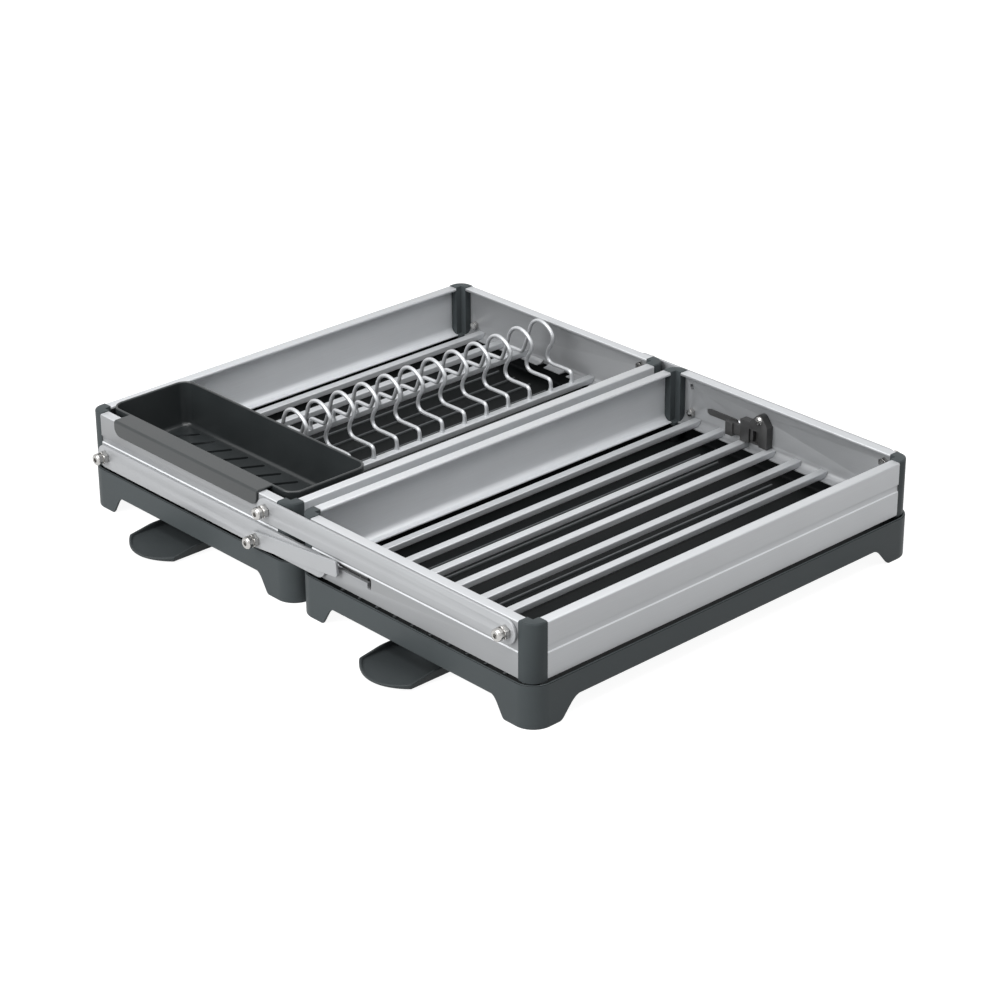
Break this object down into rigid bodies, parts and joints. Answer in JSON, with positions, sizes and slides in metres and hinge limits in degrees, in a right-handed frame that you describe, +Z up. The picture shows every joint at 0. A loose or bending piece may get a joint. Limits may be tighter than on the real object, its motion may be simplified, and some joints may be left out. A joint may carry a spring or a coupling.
{
  "type": "two-tier dish rack",
  "caption": "Folding two-tier dish rack: two aluminium trays with rods, plate hoops and a cutlery tray, on drip trays with swivel spouts, joined by side arms.",
  "frame": {"origin": "on the counter, under the middle of the whole rack's box", "axes": "+Z up; +Y from the front rack with rods only to the rear rack with the plate hoops; the spouts and the cutlery tray are at the -X end"},
  "size_m": [0.4858, 0.5526, 0.0966],
  "materials": {
    "anodised_wall": "satin silver anodised, fine lengthwise grain",
    "anodised_rod": "satin silver anodised",
    "anodised_arm": "satin silver anodised",
    "post_plastic": "fine-grained dark grey",
    "tray_plastic": "fine-grained dark grey",
    "cutlery_plastic": "fine-grained dark grey",
    "spout_plastic": "fine-grained dark grey",
    "latch_plastic": "black, slightly glossy",
    "hoop_wire": "satin stainless wire",
    "bright_steel": "polished"
  },
  "bodies": {
    "base": {"front_drip_tray": "tray_plastic", "front_spout_pin": "bright_steel"},
    "front_rack": {"front_outer_wall": "anodised_wall", "front_inner_wall": "anodised_wall", "front_left_wall": "anodised_wall", "front_right_wall": "anodised_wall", "front_outer_left_post": "post_plastic", "front_outer_right_post": "post_plastic", "front_inner_left_post": "post_plastic", "front_inner_right_post": "post_plastic", "front_rod_1": "anodised_rod", "front_rod_2": "anodised_rod", "front_rod_3": "anodised_rod", "front_rod_4": "anodised_rod", "front_rod_5": "anodised_rod", "front_rod_6": "anodised_rod", "front_rod_7": "anodised_rod", "front_rod_8": "anodised_rod", "front_outer_bolts": "bright_steel", "front_inner_bolts": "bright_steel", "front_nuts": "bright_steel", "left_latch_housing": "latch_plastic", "right_latch_housing": "latch_plastic", "latch_screws": "bright_steel"},
    "lower_arm_pair": {"left_lower_arm": "anodised_arm", "right_lower_arm": "anodised_arm", "brace_bolts": "bright_steel"},
    "upper_arm_pair": {"left_upper_arm": "anodised_arm", "right_upper_arm": "anodised_arm"},
    "brace_pair": {"left_brace": "anodised_arm", "right_brace": "anodised_arm", "brace_pins": "bright_steel"},
    "rear_rack": {"rear_outer_wall": "anodised_wall", "rear_inner_wall": "anodised_wall", "rear_left_wall": "anodised_wall", "rear_right_wall": "anodised_wall", "rear_outer_left_post": "post_plastic", "rear_outer_right_post": "post_plastic", "rear_inner_left_post": "post_plastic", "rear_inner_right_post": "post_plastic", "rear_rod_1": "anodised_rod", "rear_rod_2": "anodised_rod", "rear_rod_3": "anodised_rod", "rear_rod_4": "anodised_rod", "hoop_front_rail": "anodised_rod", "hoop_back_rail": "anodised_rod", "plate_hoops": "hoop_wire", "rear_outer_bolts": "bright_steel", "rear_inner_bolts": "bright_steel", "rear_nuts": "bright_steel"},
    "cutlery_insert": {"cutlery_tray": "cutlery_plastic"},
    "rear_base": {"rear_drip_tray": "tray_plastic", "rear_spout_pin": "bright_steel"},
    "front_spout_tongue": {"front_spout": "spout_plastic"},
    "rear_spout_tongue": {"rear_spout": "spout_plastic"},
    "left_latch": {"left_latch_slider": "latch_plastic"},
    "right_latch": {"right_latch_slider": "latch_plastic"}
  },
  "joints": [
    {"name": "rack_lift", "type": "slide", "parent": "base", "child": "front_rack", "axis": [0, 0, 1], "range_m": [0, 0.05]},
    {"name": "fold", "type": "hinge", "parent": "front_rack", "child": "lower_arm_pair", "pos_m": [0.0119, -0.03, 0.051], "axis": [1, 0, 0], "range_deg": [0, 90]},
    {"name": "rear_rack_level", "type": "hinge", "parent": "lower_arm_pair", "child": "rear_rack", "pos_m": [0.0119, 0.251, 0.051], "axis": [1, 0, 0], "range_deg": [-90, 0]},
    {"name": "upper_arm_swing", "type": "hinge", "parent": "front_rack", "child": "upper_arm_pair", "pos_m": [0.0119, -0.24775, 0.07625], "axis": [1, 0, 0], "range_deg": [0, 90]},
    {"name": "brace_swing", "type": "hinge", "parent": "lower_arm_pair", "child": "brace_pair", "pos_m": [0.0119, 0.044, 0.0475], "axis": [1, 0, 0], "range_deg": [-36, 0]},
    {"name": "cutlery_lift", "type": "slide", "parent": "rear_rack", "child": "cutlery_insert", "axis": [0, 0, 1], "range_m": [0, 0.09]},
    {"name": "rear_tray_pull", "type": "slide", "parent": "base", "child": "rear_base", "axis": [0, 1, 0], "range_m": [0, 0.15]},
    {"name": "front_spout_swivel", "type": "hinge", "parent": "base", "child": "front_spout_tongue", "pos_m": [-0.1731, -0.1368, 0.0105], "axis": [0, 0, 1], "range_deg": [-90, 90]},
    {"name": "rear_spout_swivel", "type": "hinge", "parent": "rear_base", "child": "rear_spout_tongue", "pos_m": [-0.1731, 0.1595, 0.0105], "axis": [0, 0, 1], "range_deg": [-90, 90]},
    {"name": "left_latch_push", "type": "slide", "parent": "front_rack", "child": "left_latch", "axis": [0, -1, 0], "range_m": [0, 0.008], "stiffness_N_per_m": 60},
    {"name": "right_latch_push", "type": "slide", "parent": "front_rack", "child": "right_latch", "axis": [0, -1, 0], "range_m": [0, 0.008], "stiffness_N_per_m": 60}
  ],
  "couplings": [
    {"joint": "rear_rack_level", "follows": "fold", "ratio": -1},
    {"joint": "upper_arm_swing", "follows": "fold", "ratio": 1},
    {"joint": "brace_swing", "follows": "fold", "ratio": -0.4}
  ]
}
